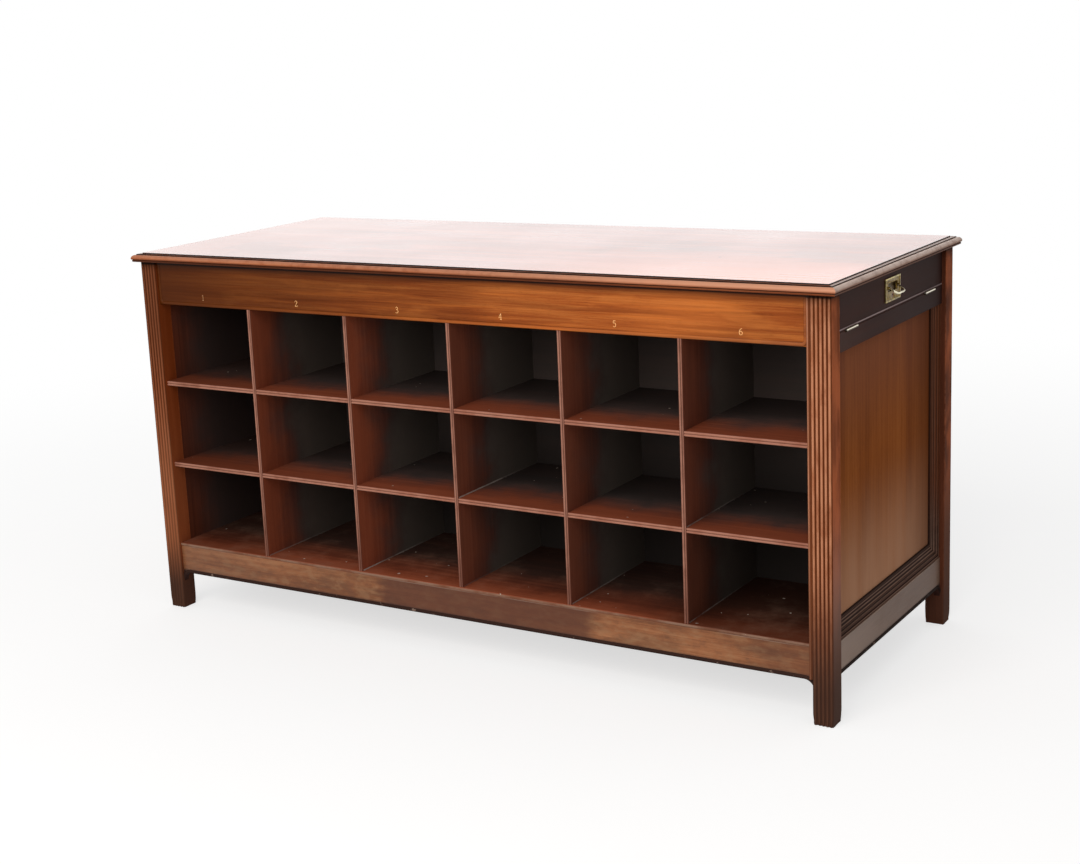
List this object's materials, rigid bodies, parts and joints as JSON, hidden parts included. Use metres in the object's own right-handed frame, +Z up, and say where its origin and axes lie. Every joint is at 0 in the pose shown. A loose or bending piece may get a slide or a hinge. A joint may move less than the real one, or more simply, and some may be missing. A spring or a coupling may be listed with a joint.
{
  "type": "pigeonhole mail sorter",
  "caption": "Long wooden sorting table with open pigeonholes on both long sides, a moulded top on reeded posts and a long compartment behind a drop flap at one end.",
  "frame": {"origin": "on the floor, under the middle of the top", "axes": "+X along the length, towards the end with the flap; +Y from the numbered front to the back; +Z up"},
  "size_m": [1.832, 0.752, 0.91],
  "materials": {
    "top_mahogany": "polished mahogany, paler and redder on top from wear",
    "case_mahogany": "French-polished mahogany",
    "end_mahogany": "French-polished mahogany, dark in the mouldings",
    "cell_mahogany": "satin dark mahogany",
    "plain_wood": "unpolished pine",
    "old_brass": "aged brass",
    "steel": "dull steel"
  },
  "bodies": {
    "case": {"top_board": "top_mahogany", "top_moulding_front": "top_mahogany", "top_moulding_back": "top_mahogany", "top_moulding_left": "top_mahogany", "top_moulding_right": "top_mahogany", "post_front_left": "case_mahogany", "corner_brackets": "case_mahogany", "bottom_rail_back": "case_mahogany", "frieze_beads": "case_mahogany", "frieze_front": "case_mahogany", "frieze_back": "case_mahogany", "post_back_right": "case_mahogany", "post_front_right": "case_mahogany", "rail_beads": "case_mahogany", "cover_strips": "case_mahogany", "bottom_rail_front": "case_mahogany", "post_back_left": "case_mahogany", "bottom_rail_left": "end_mahogany", "bottom_rail_right": "end_mahogany", "upper_rail_left": "end_mahogany", "upper_rail_right": "end_mahogany", "apron_left": "end_mahogany", "end_panel_left": "end_mahogany", "end_panel_right": "end_mahogany", "panel_moulding_left": "end_mahogany", "panel_moulding_right": "end_mahogany", "divider_front_1": "cell_mahogany", "divider_front_2": "cell_mahogany", "divider_front_3": "cell_mahogany", "divider_front_4": "cell_mahogany", "divider_front_5": "cell_mahogany", "divider_back_1": "cell_mahogany", "divider_back_2": "cell_mahogany", "divider_back_3": "cell_mahogany", "divider_back_4": "cell_mahogany", "divider_back_5": "cell_mahogany", "shelves_front_lower": "cell_mahogany", "shelves_front_upper": "cell_mahogany", "shelves_back_lower": "cell_mahogany", "shelves_back_upper": "cell_mahogany", "lining_left": "cell_mahogany", "lining_right": "cell_mahogany", "floor_board": "cell_mahogany", "floor_lippings": "cell_mahogany", "centre_back": "cell_mahogany", "compartment_floor": "cell_mahogany", "floor_bearers": "plain_wood", "glue_blocks": "plain_wood", "flap_stops": "plain_wood", "hinge_leaves_fixed": "old_brass", "rail_screws": "old_brass", "strike_plate": "old_brass", "hinge_pins": "steel"},
    "flap": {"flap": "end_mahogany", "hinge_leaves_moving": "old_brass", "flap_screws": "old_brass", "pull_plate": "old_brass", "lock_case": "old_brass"},
    "bail": {"bail": "old_brass"},
    "lock_bolt": {"lock_bolt": "steel"}
  },
  "joints": [
    {"name": "flap_drop", "type": "hinge", "parent": "case", "child": "flap", "pos_m": [0.8905, 0, 0.8025], "axis": [0, 1, 0], "range_deg": [0, 145]},
    {"name": "bail_swing", "type": "hinge", "parent": "flap", "child": "bail", "pos_m": [0.8942, 0, 0.85], "axis": [0, -1, 0], "range_deg": [-55, 60]},
    {"name": "bolt_throw", "type": "slide", "parent": "flap", "child": "lock_bolt", "axis": [0, 0, 1], "range_m": [0, 0.008]}
  ]
}
